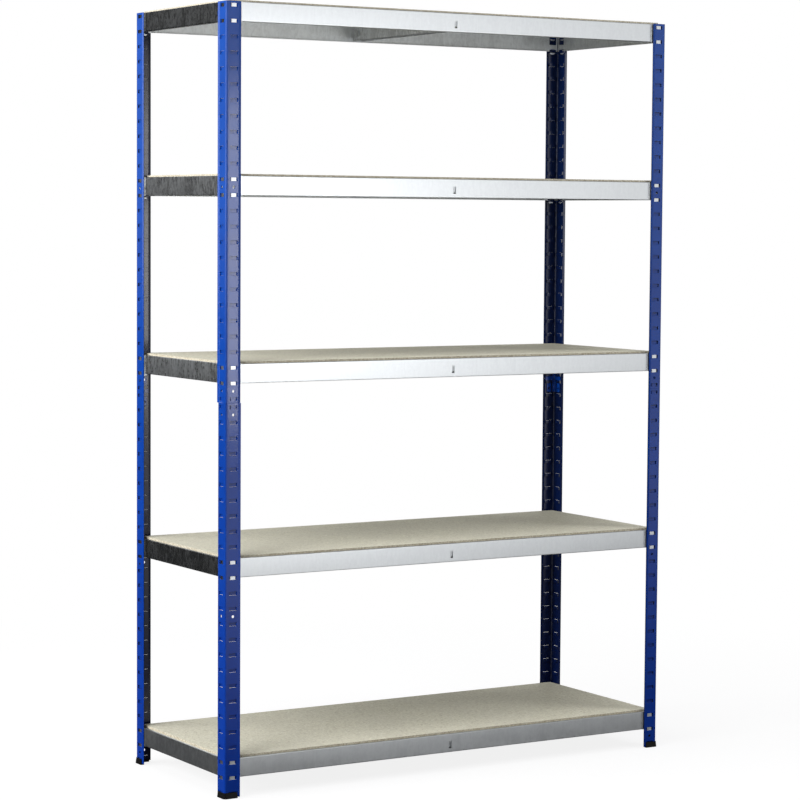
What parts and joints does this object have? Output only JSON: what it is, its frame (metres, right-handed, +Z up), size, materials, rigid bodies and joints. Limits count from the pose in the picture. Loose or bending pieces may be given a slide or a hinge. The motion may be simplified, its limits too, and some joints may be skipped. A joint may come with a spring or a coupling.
{
  "type": "boltless steel shelving unit",
  "caption": "Free-standing boltless shelving: slotted angle posts in halves, hook-in galvanised beams with centre crossbars, and drop-in chipboard decks on plastic feet.",
  "frame": {"origin": "on the floor, in the middle of the footprint", "axes": "+Z up, X along the width with +X to the right seen from the front, -Y towards the front"},
  "size_m": [1.2164, 0.4664, 1.7923],
  "materials": {
    "blue_powder_coat": "semi-gloss powder coat",
    "galvanised_sheet": "satin galvanised, faint spangle",
    "blue_connector": "semi-gloss powder coat",
    "chipboard": "raw sanded chipboard",
    "black_plastic": "matte moulded"
  },
  "bodies": {
    "post_frame": {"post_front_left_upper": "blue_powder_coat", "post_front_left_lower": "blue_powder_coat", "post_connector_front_left": "blue_connector", "foot_front_left": "black_plastic", "post_front_right_upper": "blue_powder_coat", "post_front_right_lower": "blue_powder_coat", "post_connector_front_right": "blue_connector", "foot_front_right": "black_plastic", "post_rear_right_upper": "blue_powder_coat", "post_rear_right_lower": "blue_powder_coat", "post_connector_rear_right": "blue_connector", "foot_rear_right": "black_plastic", "post_rear_left_upper": "blue_powder_coat", "post_rear_left_lower": "blue_powder_coat", "post_connector_rear_left": "blue_connector", "foot_rear_left": "black_plastic"},
    "shelf_level_1": {"beam_front_level_1": "galvanised_sheet", "beam_rear_level_1": "galvanised_sheet", "beam_left_level_1": "galvanised_sheet", "beam_right_level_1": "galvanised_sheet", "crossbar_level_1": "galvanised_sheet"},
    "deck_1": {"deck_level_1": "chipboard"},
    "shelf_level_2": {"beam_front_level_2": "galvanised_sheet", "beam_rear_level_2": "galvanised_sheet", "beam_left_level_2": "galvanised_sheet", "beam_right_level_2": "galvanised_sheet", "crossbar_level_2": "galvanised_sheet"},
    "deck_2": {"deck_level_2": "chipboard"},
    "shelf_level_3": {"beam_front_level_3": "galvanised_sheet", "beam_rear_level_3": "galvanised_sheet", "beam_left_level_3": "galvanised_sheet", "beam_right_level_3": "galvanised_sheet", "crossbar_level_3": "galvanised_sheet"},
    "deck_3": {"deck_level_3": "chipboard"},
    "shelf_level_4": {"beam_front_level_4": "galvanised_sheet", "beam_rear_level_4": "galvanised_sheet", "beam_left_level_4": "galvanised_sheet", "beam_right_level_4": "galvanised_sheet", "crossbar_level_4": "galvanised_sheet"},
    "deck_4": {"deck_level_4": "chipboard"},
    "shelf_level_5": {"beam_front_level_5": "galvanised_sheet", "beam_rear_level_5": "galvanised_sheet", "beam_left_level_5": "galvanised_sheet", "beam_right_level_5": "galvanised_sheet", "crossbar_level_5": "galvanised_sheet"},
    "deck_5": {"deck_level_5": "chipboard"}
  },
  "joints": [
    {"name": "level_1_unhook", "type": "slide", "parent": "post_frame", "child": "shelf_level_1", "axis": [0, 0, 1], "range_m": [0, 0.0115]},
    {"name": "deck_1_lift", "type": "slide", "parent": "shelf_level_1", "child": "deck_1", "axis": [0, 0, 1], "range_m": [0, 0.12]},
    {"name": "level_2_unhook", "type": "slide", "parent": "post_frame", "child": "shelf_level_2", "axis": [0, 0, 1], "range_m": [0, 0.0115]},
    {"name": "deck_2_lift", "type": "slide", "parent": "shelf_level_2", "child": "deck_2", "axis": [0, 0, 1], "range_m": [0, 0.12]},
    {"name": "level_3_unhook", "type": "slide", "parent": "post_frame", "child": "shelf_level_3", "axis": [0, 0, 1], "range_m": [0, 0.0115]},
    {"name": "deck_3_lift", "type": "slide", "parent": "shelf_level_3", "child": "deck_3", "axis": [0, 0, 1], "range_m": [0, 0.12]},
    {"name": "level_4_unhook", "type": "slide", "parent": "post_frame", "child": "shelf_level_4", "axis": [0, 0, 1], "range_m": [0, 0.0115]},
    {"name": "deck_4_lift", "type": "slide", "parent": "shelf_level_4", "child": "deck_4", "axis": [0, 0, 1], "range_m": [0, 0.12]},
    {"name": "level_5_unhook", "type": "slide", "parent": "post_frame", "child": "shelf_level_5", "axis": [0, 0, 1], "range_m": [0, 0.0115]},
    {"name": "deck_5_lift", "type": "slide", "parent": "shelf_level_5", "child": "deck_5", "axis": [0, 0, 1], "range_m": [0, 0.12]}
  ]
}
